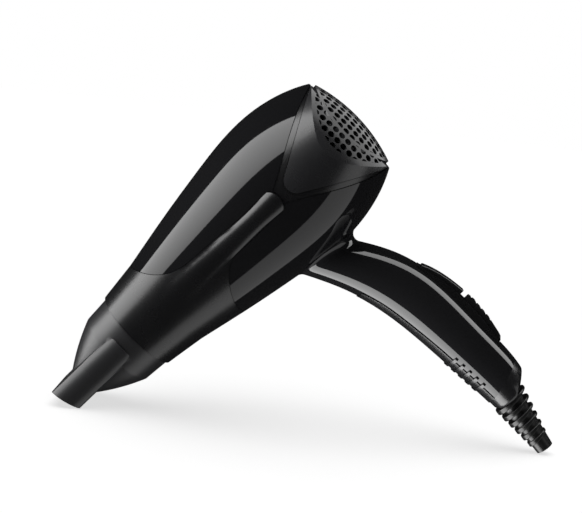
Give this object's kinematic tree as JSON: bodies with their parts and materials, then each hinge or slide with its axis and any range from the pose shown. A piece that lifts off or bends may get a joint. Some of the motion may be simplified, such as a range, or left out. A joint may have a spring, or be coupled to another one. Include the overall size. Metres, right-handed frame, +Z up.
{
  "type": "travel hair dryer",
  "caption": "Compact pistol-grip hair dryer with a slot concentrator nozzle, domed rear grille, thumb slide, cool-shot button and ribbed cord relief, standing on nozzle lip and relief.",
  "frame": {"origin": "centre of the bounding box at its lowest level, where the nozzle lip and the strain relief touch the table", "axes": "+Z up; +X from the nozzle side towards the handle end; +Y towards the right half of the dryer, square to its mirror plane. The barrel axis rises to +X at 50.3 degrees."},
  "size_m": [0.2618, 0.0848, 0.1784],
  "materials": {
    "gloss_black": "gloss",
    "satin_black": "satin",
    "nozzle_black": "satin",
    "relief_rubber": "matte",
    "button_black": "satin gloss",
    "inner_plastic": "matte",
    "fan_plastic": "matte",
    "steel": "plated",
    "zinc_steel": "zinc plated",
    "magnet": "sintered",
    "bronze": "sintered bronze",
    "copper": "enamelled copper",
    "mica": "flaky, translucent edge",
    "heating_wire": "oxidised",
    "board": "varnished board",
    "capacitor": "potted box",
    "wire_sheath": "silicone",
    "switch_case": "matte",
    "screen": "woven wire"
  },
  "bodies": {
    "chassis": {"barrel_shell_left": "gloss_black", "barrel_shell_right": "gloss_black", "front_sleeve": "satin_black", "rear_frame": "satin_black", "handle_shell_left": "gloss_black", "handle_shell_right": "gloss_black", "grip_strip": "satin_black", "switch_bezel": "satin_black", "end_cap": "satin_black", "strain_relief": "relief_rubber", "slide_switch_body": "switch_case", "cool_shot_microswitch": "switch_case", "handle_screws": "zinc_steel", "fan_duct": "inner_plastic", "motor_can": "zinc_steel", "motor_end_bell": "inner_plastic", "motor_bearings": "bronze", "motor_magnets": "magnet", "mica_tube": "mica", "heater_frame": "mica", "heater_coils": "heating_wire", "thermostat": "switch_case", "thermal_fuse": "steel", "outlet_guard": "steel", "rectifier_board": "board", "suppressor_capacitor": "capacitor", "lead_wires": "wire_sheath", "cord_clamp": "inner_plastic", "clamp_screws": "zinc_steel"},
    "nozzle": {"nozzle_collar": "nozzle_black", "nozzle_funnel": "nozzle_black", "nozzle_duct": "nozzle_black"},
    "fan": {"impeller": "fan_plastic", "motor_shaft": "steel", "rotor": "copper"},
    "rear_cover": {"rear_grille": "satin_black", "filter_mesh": "screen"},
    "power_slide": {"slide_knob": "button_black"},
    "cool_shot": {"cool_shot_button": "button_black", "microswitch_plunger": "switch_case"}
  },
  "joints": [
    {"name": "nozzle_turn", "type": "hinge", "parent": "chassis", "child": "nozzle", "pos_m": [-0.09902, 0, 0.03271], "axis": [0.6393, 0, 0.7689], "continuous": true},
    {"name": "fan_spin", "type": "hinge", "parent": "chassis", "child": "fan", "pos_m": [-0.0223, 0, 0.12498], "axis": [0.6393, 0, 0.7689], "continuous": true},
    {"name": "rear_cover_pull", "type": "slide", "parent": "chassis", "child": "rear_cover", "axis": [0.6393, 0, 0.7689], "range_m": [0, 0.05]},
    {"name": "power_slide", "type": "slide", "parent": "chassis", "child": "power_slide", "axis": [-0.7689, 0, 0.6393], "range_m": [0, 0.0038]},
    {"name": "cool_shot_press", "type": "slide", "parent": "chassis", "child": "cool_shot", "axis": [-0.6393, 0, -0.7689], "range_m": [0, 0.0015], "stiffness_N_per_m": 900, "springref_m": -0.001}
  ]
}
